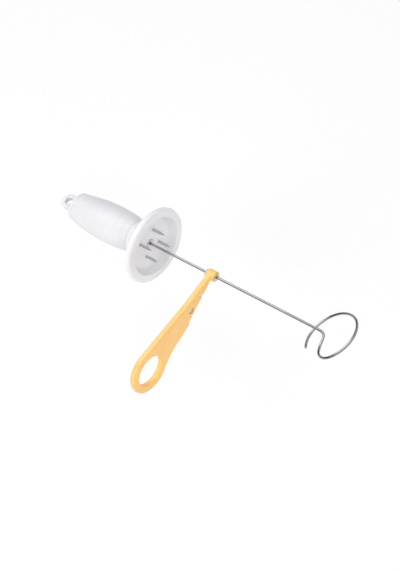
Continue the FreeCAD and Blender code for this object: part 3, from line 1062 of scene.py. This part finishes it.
    def cap(self) -> None:
        """Plug at the end of the grip, with a tongue and a hole to hang the tool by."""
        thickness, half, reach = self.cap_thickness, self.tongue_thickness / 2, self.tongue_reach
        stations = softened(0.3, 3) + [
            (thickness - far, depth) for far, depth in reversed(softened(self.cap_rounding, 9))]
        flange = lofted(self.end_oval(depth, -far) for far, depth in stations)
        outer = self.grip_wall + self.fit
        skirt = lofted(self.end_oval(outer, forward) for forward in (-0.5, self.skirt_length))
        skirt = skirt - lofted(self.end_oval(outer + self.skirt_wall, forward)
                               for forward in (0.0, self.skirt_length + 1.4))
        line = [polar(self.tongue_half, angle) for angle in spread(TURN / 4, TURN * 3 / 4, 48)]
        line += [vec(0, reach + thickness / 2, z) for z in (-self.tongue_half, self.tongue_half)]
        tongue = slab(line, -half, half, rounding=0.8, seam=self.seam)
        tongue = tongue - mouthed_hole(self.eye_radius, half, 0.5, self.seam)
        tongue.moved(ACROSS_Z).shifted(-self.neck_end - self.grip_length - thickness - reach)
        add_piece(flange + tongue + skirt, "grip_end_plug", "holder", "end_cap", SHADED_GRIP_WHITE)

    def build(self) -> None:
        """Makes all pieces of the holder."""
        self.moulding()
        self.liner()
        self.prongs()
        self.grip()
        self.washer()
        self.screw()
        self.cap()


# ---------------- skewer


@dataclass
class SkewerSet:
    """One bent wire: ground point, straight shaft, corner, return arc, ring and free tail."""

    radius: float = 0.9
    sides: int = 28
    tip_depth: float = 20.0
    point_length: float = 7.0
    point_end: float = 0.15
    point_bulge: float = 0.06
    ring_x: float = 147.25
    ring_radius: float = 18.1
    ring_tilt: float = 29.2
    bend_back: float = 4.25
    bend_radius: float = 4.2
    return_radius: float = 8.3
    return_from: float = 207.5
    return_to: float = 306.3
    lead: float = 3.6
    lead_radius: float = 7.5
    tail_to: float = 581.0
    tail_rounding: float = 0.35
    tail_burr: float = 0.03
    shaft_step: float = 2.0

    def ring_point(self, radius: float, degrees: float,
                   centre: tuple[float, float] = (0.0, 0.0)) -> Vector:
        """Point in the tilted plane of the ring.

        Args:
            radius: its distance from a centre.
            degrees: its angle about the centre, 0 away from the holder and 90 along +Y.
            centre: place of the centre in the plane, (0, 0) for the ring's own.

        Returns:
            The point.
        """
        along = centre[0] + radius * math.cos(math.radians(degrees))
        across = centre[1] + radius * math.sin(math.radians(degrees))
        tilt = math.radians(self.ring_tilt)
        return vec(self.ring_x + along * math.cos(tilt), across, along * math.sin(tilt))

    def point(self) -> list[tuple[Vector, float]]:
        """The slightly bulging point, with the wire's radius at each place.

        Returns:
            The places and radii, from the tip on.
        """
        start, blunt = -self.tip_depth, 0.2
        stations = [(vec(start), 0.02), (vec(start + 0.06), self.point_end * 0.75),
                    (vec(start + blunt), self.point_end)]
        for share in spread(0, 1, 12)[1:]:
            bulge = self.point_bulge * math.sin(math.pi * share)
            stations.append((vec(start + blunt + (self.point_length - blunt) * share * 0.985),
                             self.point_end + (self.radius - self.point_end) * share + bulge))
        return stations

    def middle_line(self) -> list[Vector]:
        """Middle line of the wire from the point's foot to the end of the tail.

        Returns:
            Its points.
        """
        offset, turn = self.ring_radius - self.return_radius, math.radians(self.return_to)
        centre = (offset * math.cos(turn), offset * math.sin(turn))
        arrive = self.ring_point(self.return_radius, self.return_from, centre)
        ahead = (self.ring_point(1, self.return_from + 90) - self.ring_point(0, 0)).normalized()
        foot = self.point_length - self.tip_depth
        line = rounded([
            (vec(foot), 0.0),
            (vec(self.ring_x - self.bend_back), self.bend_radius),
            (arrive - ahead * self.lead, self.lead_radius),
            (arrive, 0.0),
        ], closed=False, step=4.0)
        steps = math.ceil((line[1].x - 1.0 - foot) / self.shaft_step)
        line[1:1] = [vec(foot + self.shaft_step * i) for i in range(1, steps)]
        line += [self.ring_point(self.return_radius, degrees, centre)
                 for degrees in spread(self.return_from, self.return_to, 26)[1:]]
        line += [self.ring_point(self.ring_radius, degrees)
                 for degrees in spread(self.return_to, self.tail_to, 96)[1:]]
        return line

    def build(self) -> None:
        """Makes the wire and keeps how far along and round it each point is."""
        line = self.middle_line()
        end, out = line[-1], (line[-1] - line[-2]).normalized()
        wire = self.point() + [(place, self.radius) for place in line[:-1]]
        wire += [(end - out * far, self.radius + self.tail_burr - depth)
                 for far, depth in reversed(softened(self.tail_rounding, 4))]
        wire.append((end + out * 0.004, 0.05))
        piece = add_piece(swept(wire, self.sides), "skewer_bent_wire", "skewer", "skewer_wire",
                          WIRE)
        reach = 0.0
        lay = []
        for (place, _), (before, _) in zip(wire, wire[:1] + wire):
            reach += (place - before).length
            lay += [vec(reach) + polar(1, TURN * k / self.sides) for k in range(self.sides)]
        keep_vectors(piece.data, "lay", lay)


# ---------------- cutter


@dataclass
class CutterSet:
    """Yellow arm with hub and finger ring, its steel blade, rivets and eyelet.

    The pieces are drawn with the arm along +Y and its leading side towards +Z.
    """

    hub_x: float = 54.0
    rest_angle: float = 189.2
    length: float = 74.7
    thickness: float = 4.2
    tip_half: float = 9.9
    blend: float = 34.0
    edge: float = 1.0
    shoulder: float = 36.0
    shoulder_half: float = 8.6
    shoulder_radius: float = 30.0
    waist: float = 27.0
    waist_half: float = 6.6
    waist_radius: float = 60.0
    lead_root: float = -0.8
    ring_outer: float = 16.0
    finger: float = 10.6
    finger_edge: float = 1.2
    hub_radius: float = 3.6
    hub_length: float = 7.5
    nose_radius: float = 2.9
    nose_length: float = 1.2
    bore: float = 0.96
    eyelet_radius: float = 1.76
    eyelet_fit: float = 0.06
    eyelet_play: float = 0.15
    flange_radius: float = 2.6
    flange: float = 0.6
    blade_slope: float = 7.0
    blade_thickness: float = 0.7
    blade_inner: float = 3.9
    blade_outer: float = 34.0
    back_root: float = 3.0
    back_outer: float = 4.5
    reach: float = 2.6
    edge_root: float = 0.6
    edge_land: float = 0.03
    bevel: float = 2.2
    blade_corner: float = 2.5
    seat_offset: float = 0.3
    seat_gap: float = 0.2
    nose_thickness: float = 0.8
    nose_width: float = 4.0
    thin_length: float = 35.1362
    rivets: tuple[float, float] = (15.0, 27.5)
    rivet_radius: float = 1.2
    rivet_rear: float = 1.5
    head_radius: float = 2.2
    fit: float = 0.02
    pin_mark_radius: float = 1.5
    pin_mark_depth: float = 0.1
    pin_mark_places: tuple[float, float] = (42.0, 56.0)
    pin_mark_circle: float = 13.4
    gate_radius: float = 0.9
    gate_height: float = 0.22
    gate_sunk: float = 0.8
    seam: float = 0.05

    @property
    def rest(self) -> Matrix:
        """From the drawing place to the rest place on the skewer."""
        turn = Matrix.Rotation(math.radians(self.rest_angle), 4, "X")
        return turn @ Matrix.Translation((self.hub_x, 0, 0))

    @property
    def slope(self) -> Matrix:
        """From the blade's own plane to the drawing place."""
        turn = Matrix.Rotation(math.radians(-self.blade_slope), 4, "Y")
        return Matrix.Translation((-self.seat_offset, 0, 0)) @ turn

    def leading_side(self, along: float) -> float:
        """Height of the arm's leading side over its middle line."""
        return self.lead_root + (self.shoulder_half - self.lead_root) * along / self.shoulder

    def cutting_edge(self, along: float) -> float:
        """Height of the blade's edge over the arm's middle line."""
        outer = self.leading_side(self.blade_outer) + self.reach
        return self.edge_root + (outer - self.edge_root) * along / self.blade_outer

    def blade_back(self, along: float) -> float:
        """Height of the blade's back, below the arm's middle line."""
        return -self.back_root - (self.back_outer - self.back_root) * along / self.blade_outer

    def rake(self, side: Callable[[float], float]) -> float:
        """Angle of a straight side to the arm's middle line, in radians."""
        return math.atan2(side(self.blade_outer) - side(0.0), self.blade_outer)

    def along_side(self, section: Sequence[tuple[float, float]],
                   side: Callable[[float], float], length: float) -> Solid:
        """Prism along a straight side.

        Args:
            section: its (x, height over the side) corners.
            side: gives the height of the side at a distance along the arm.
            length: how far it runs from the skewer.

        Returns:
            The prism, in the blade's own plane.
        """
        prism = lofted([vec(x, y, height) for x, height in section] for y in (-2.0, length))
        return prism.moved(Matrix.Rotation(self.rake(side), 4, "X")).shifted(z=side(0.0))

    def blend_arc(self) -> tuple[Vector, Vector]:
        """Arc that runs from the straight leading side into the ring.

        Returns:
            The centre of the arc, and where the arc leaves the side.
        """
        out = math.atan((self.tip_half - self.shoulder_half) / (self.length - self.shoulder))
        along, normal = polar(1, out), vec(0, -math.sin(out), math.cos(out))
        start = vec(0, self.shoulder, self.shoulder_half) + normal * self.blend
        gap = start - vec(0, self.length)
        nearing = gap.dot(along)
        spare = gap.length_squared - (self.ring_outer + self.blend) ** 2
        centre = start + along * (-nearing - math.sqrt(nearing * nearing - spare))
        return centre, centre - normal * self.blend

    def outline(self) -> list[Vector]:
        """Line round the arm, counter-clockwise seen from +X.

        The leading side runs into the ring in an arc, the trailing side straight.

        Returns:
            The points of the line.
        """
        centre, side = self.blend_arc()
        to_arc = centre - vec(0, self.length)
        to_waist = vec(0, self.waist - self.length, -self.waist_half)
        start = math.atan2(to_arc.z, to_arc.y)
        end = math.atan2(to_waist.z, to_waist.y) + math.acos(self.ring_outer / to_waist.length)
        ring = [vec(0, self.length) + polar(self.ring_outer, turn)
                for turn in spread(start, end, 120)]
        lead = plate_line((0, self.lead_root, 0),
                          (self.shoulder, self.shoulder_half, self.shoulder_radius),
                          (side.y, side.z, 0), closed=False, step=1.0)
        lead += arc_through(side, ring[0], centre, 3.0)[1:]
        trail = plate_line((0, -self.hub_radius, 0),
                           (self.waist, -self.waist_half, self.waist_radius),
                           (ring[-1].y, ring[-1].z, 0), closed=False, step=1.0)
        return trail + ring[-2:0:-1] + lead[::-1]

    def blade_seat(self) -> tuple[Solid, Solid]:
        """What the blade's pocket and the thinned nose in front of it take from the arm.

        Returns:
            The pocket and the nose.
        """
        start, end, clear = -3.0, self.blade_outer + self.seat_gap, 20.0
        pocket = slab(plate_line(
            (start, self.blade_back(0.0) - self.seat_gap, 0),
            (end, self.blade_back(self.blade_outer) - self.seat_gap, self.blade_corner),
            (end, clear, 0), (start, clear, 0)), -THROUGH, 0.0)
        thin, low, high = self.nose_thickness, -self.nose_width, 6.0
        nose = self.along_side(
            [(thin, 0.0), (self.thickness, low), (THROUGH, low), (THROUGH, high), (thin, high)],
            self.leading_side, self.thin_length)
        return pocket.moved(self.slope), nose.moved(self.slope)

    def arm_holes(self) -> Solid:
        """Finger hole, bore for the eyelet and counterbored holes for the rivets.

        Returns:
            The holes as one solid.
        """
        holes = mouthed_hole(self.finger, self.thickness / 2, self.finger_edge, self.seam)
        holes.shifted(y=self.length)
        holes.beside(rod(self.eyelet_radius + self.eyelet_fit, -THROUGH, THROUGH))
        hole, head = self.rivet_radius + self.fit, self.head_radius + 3 * self.fit
        low, high = -5.0, 8.0
        line = lathe_line((low, 0, 0), (low, hole, 0), (self.rivet_rear, hole, 0),
                          (self.rivet_rear, head, 0), (high, head, 0), (high, 0, 0))
        for along in self.rivets:
            holes.beside(turned(line, sides=64).shifted(y=along).moved(self.slope))
        return holes

    def pin_marks(self) -> Solid:
        """Shallow marks that the mould's pins leave on the face towards the holder.

        Returns:
            The marks as one solid.
        """
        marks = Solid()
        face = -self.thickness / 2
        places = [(y, 0.0) for y in self.pin_mark_places]
        places += [(self.length, z) for z in (self.pin_mark_circle, -self.pin_mark_circle)]
        for y, z in places:
            marks.beside(rod(self.pin_mark_radius, face - 1, face + self.pin_mark_depth, y, z))
        return marks

    def arm(self) -> None:
        """Hub, arm with the blade's seat and finger ring in one moulding."""
        half, middle, high = self.thickness / 2, self.hub_length / 2, self.gate_height
        arm = slab(self.outline(), -half, half, rounding=self.edge, seam=self.seam, steps=6)
        for taken in self.blade_seat():
            arm = arm - taken
        hub = turned(lathe_line(
            (-middle, 0, 0), (-middle, self.nose_radius, 0.25),
            (-middle + self.nose_length, self.hub_radius, 0.6), (middle, self.hub_radius, 0.6),
            (middle, 0, 0), step=10.0), sides=96)
        gate = turned(lathe_line(
            (-self.gate_sunk, 0, 0), (-self.gate_sunk, self.gate_radius, 0),
            (high - 0.04, self.gate_radius - 0.1, 0.1), (high, 0, 0), step=30.0), sides=32)
        gate.moved(Matrix.Rotation(TURN / 4, 4, "Z")).shifted(y=self.length + self.ring_outer)
        arm = arm + hub - self.arm_holes() - self.pin_marks() + gate
        add_piece(arm.moved(self.rest), "cutter_moulding", "cutter", "cutter_arm", YELLOW)

    def blade(self) -> None:
        """Tapered blade on its sloped seat, with its ground faces marked."""
        inner, outer, corner = self.blade_inner, self.blade_outer, self.blade_corner
        thick, land = self.blade_thickness, self.edge_land - self.blade_thickness
        strip = slab(plate_line(
            (inner, self.blade_back(inner), 0.7), (outer, self.blade_back(outer), corner),
            (outer, self.cutting_edge(outer), corner), (inner, self.cutting_edge(inner), 0),
            step=6.0), -thick, 0.0, rounding=0.06, steps=2)
        strip = strip - self.along_side(
            [(0.0, -self.bevel), (land, 0.0), (land, thick), (thick, thick),
             (thick, -self.bevel)], self.cutting_edge, 40.0)
        for along in self.rivets:
            strip = strip - rod(self.rivet_radius + self.fit, -2.0, 2.0, y=along)
        tilt = math.atan2(thick, self.bevel)
        across = Matrix.Rotation(self.rake(self.cutting_edge), 3, "X") @ vec(
            math.cos(tilt), 0, math.sin(tilt))
        facing = (self.rest @ self.slope).to_3x3() @ across
        piece = add_piece(strip.moved(self.slope).moved(self.rest), "slicing_blade", "cutter",
                          "cutting_blade", BLADE, crease=12.0)
        keep_numbers(piece.data, "ground", [
            float(face.normal.dot(facing) > 0.995) for face in piece.data.polygons])

    def rivet_pair(self) -> None:
        """Two rivets with low domed heads and the ring that the set tool leaves."""
        front, rear = -self.blade_thickness, self.rivet_rear
        dome = [(0.6, 0.0), (0.6, 0.4), (0.57, 0.8), (0.55, 0.92), (0.57, 1.05), (0.52, 1.5),
                (0.42, 1.86), (0.3, 2.08), (0.14, 2.19), (0.0, self.head_radius)]
        profile = [vec(front - high, radius) for high, radius in dome]
        profile += [vec(front, self.rivet_radius), vec(rear, self.rivet_radius)]
        profile += [vec(rear + high, radius) for high, radius in reversed(dome)]
        place = self.rest @ self.slope
        for along, where in zip(self.rivets, ("inner", "outer")):
            rivet = turned(profile, sides=56).shifted(y=along).moved(self.slope).moved(self.rest)
            piece = add_piece(rivet, f"blade_rivet_{where}_set", "cutter", f"blade_rivet_{where}",
                              STEEL)
            keep_lathe(piece, place @ vec(0, along), place.to_3x3() @ AXIS)

    def eyelet(self) -> None:
        """Eyelet that lines the hub and is rolled over both of its ends."""
        inside = self.hub_length / 2 + self.eyelet_play
        outside = inside + self.flange
        half = [(outside, self.bore, 0.25), (outside, self.flange_radius, 0.3),
                (inside, self.flange_radius, 0.1), (inside, self.eyelet_radius, 0)]
        line = lathe_line(*((-x, radius, rounding) for x, radius, rounding in half),
                          *reversed(half), closed=True, step=15.0)
        tube = turned(line, sides=72, ring_shaped=True).shifted(self.hub_x)
        keep_lathe(add_piece(tube, "hub_liner", "hub", "hub_eyelet", STEEL))

    def build(self) -> None:
        """Makes all pieces of the cutter."""
        self.arm()
        self.blade()
        self.rivet_pair()
        self.eyelet()


# ---------------- studio


@dataclass
class Studio:
    """Pale floor, soft lamps, a plain room and the camera; places are in metres."""

    floor_z: float = -0.0945
    floor_half: float = 4.0
    lens: float = 63.16
    aim: Triple = (0.051613, -0.010127, 0.0)
    distance: float = 0.65267
    azimuth: float = -32.949
    elevation: float = 54.271
    roll: float = -23.766
    lit: Triple = (0.03, -0.02, 0.0)

    def floor(self) -> None:
        """Wide pale floor that keeps the tool's shadow."""
        solid = Solid()
        half = self.floor_half
        solid.skin.faces.new(solid.ring(vec(x, y, self.floor_z) for x, y in (
            (-half, -half), (half, -half), (half, half), (-half, half))))
        ground = bpy.data.objects.new("floor", solid.as_mesh("floor"))
        solid.skin.free()
        material, graph = new_material("pale_floor")
        matt = graph.node("ShaderNodeBsdfDiffuse", None, {"Color": graph.blend(
            graph.noise(graph.place(), 3.0, 2.0), (0.86, 0.86, 0.86), (0.84, 0.84, 0.845))})
        white = graph.node("ShaderNodeEmission", None, {"Color": (1, 1, 1), "Strength": 1.0})
        reach = graph.node("ShaderNodeVectorMath", {"operation": "LENGTH"},
                           {0: graph.place()}, output="Value")
        shown = graph.rays("Is Camera Ray", "Is Glossy Ray", "Is Transmission Ray")
        glow = graph.ramp(reach, (0.25, 0.62), (0.7, 1.0))
        graph.surface(graph.node("ShaderNodeMixShader", None, {0: shown * glow, 1: matt, 2: white}))
        ground.data.materials.append(material)
        bpy.context.scene.collection.objects.link(ground)

    def room(self) -> None:
        """White all round, with a darker ceiling and a pale window in what metal mirrors."""
        world = bpy.data.worlds.new("room")
        bpy.context.scene.world = world
        world.use_nodes = True
        graph = Graph(world.node_tree)
        away = graph.node("ShaderNodeTexCoord", output="Generated")
        along, up = (graph.node("ShaderNodeSeparateXYZ", None, {0: away}, output=axis)
                     for axis in "XZ")
        ceiling = graph.ramp(up, (0.0, 0.9), (0.06, 0.6), (0.16, 0.1), (0.3, 0.03), (0.6, 0.03),
                             (0.86, 0.48), (1.0, 0.7))
        window = graph.ramp(along, (0.0, 0.0), (0.12, 0.55)) * graph.ramp(
            up, (0.46, 0.0), (0.58, 1.0))
        lit = graph.node("ShaderNodeMixShader", None, {
            0: graph.rays("Is Glossy Ray"),
            1: graph.light((1, 1, 1), 0.56), 2: graph.light(ceiling + window, 1.0)})
        shown = graph.node("ShaderNodeMixShader", None, {
            0: graph.rays("Is Camera Ray", "Is Transmission Ray"),
            1: lit, 2: graph.light((1, 1, 1), 1.0)})
        graph.node("ShaderNodeOutputWorld", None, {"Surface": shown})

    def lamp(self, name: str, at: Triple, power: float, size: float = 0.5,
             mirrored: bool = True) -> None:
        """Square soft lamp that looks at the middle of the tool.

        Args:
            name: name of the lamp.
            at: its place.
            power: its power, in watts.
            size: its width.
            mirrored: whether shiny surfaces show it.
        """
        light = bpy.data.lights.new(name, "AREA")
        light.shape, light.size, light.energy = "SQUARE", size, power
        lamp = bpy.data.objects.new(name, light)
        lamp.location = at
        lamp.rotation_euler = (Vector(self.lit) - Vector(at)).to_track_quat("-Z", "Y").to_euler()
        lamp.visible_glossy = mirrored
        bpy.context.scene.collection.objects.link(lamp)

    def camera(self) -> None:
        """Camera that looks down on the tool from between +X and -Y, a little rolled."""
        data = bpy.data.cameras.new("camera")
        data.sensor_width, data.lens = 36.0, self.lens
        data.clip_start, data.clip_end = 0.01, 20.0
        camera = bpy.data.objects.new("camera", data)
        turns = ((90 + self.azimuth, "Z"), (90 - self.elevation, "X"), (self.roll, "Z"))
        place = Matrix.Translation(self.aim)
        for degrees, axis in turns:
            place = place @ Matrix.Rotation(math.radians(degrees), 4, axis)
        camera.matrix_world = place @ Matrix.Translation((0, 0, self.distance))
        bpy.context.scene.collection.objects.link(camera)
        bpy.context.scene.camera = camera

    def build(self) -> None:
        """Sets up everything round the tool."""
        bpy.context.scene.view_settings.view_transform = "Standard"
        self.camera()
        self.floor()
        self.room()
        self.lamp("key", (-0.3, -0.62, 0.5), 3.2, size=0.45, mirrored=False)
        self.lamp("ceiling", (-0.42, 0.12, 0.72), 2.2)
        self.lamp("fill", (0.62, -0.25, 0.5), 2.7, mirrored=False)
        self.lamp("back", (0.1, 0.7, 0.5), 0.6)


def main() -> None:
    """Builds the studio and the tool."""
    logging.basicConfig(level=logging.INFO, format="%(name)s: %(message)s")
    for part in (Studio(), HolderSet(), SkewerSet(), CutterSet()):
        part.build()


if __name__ == "__main__":
    main()
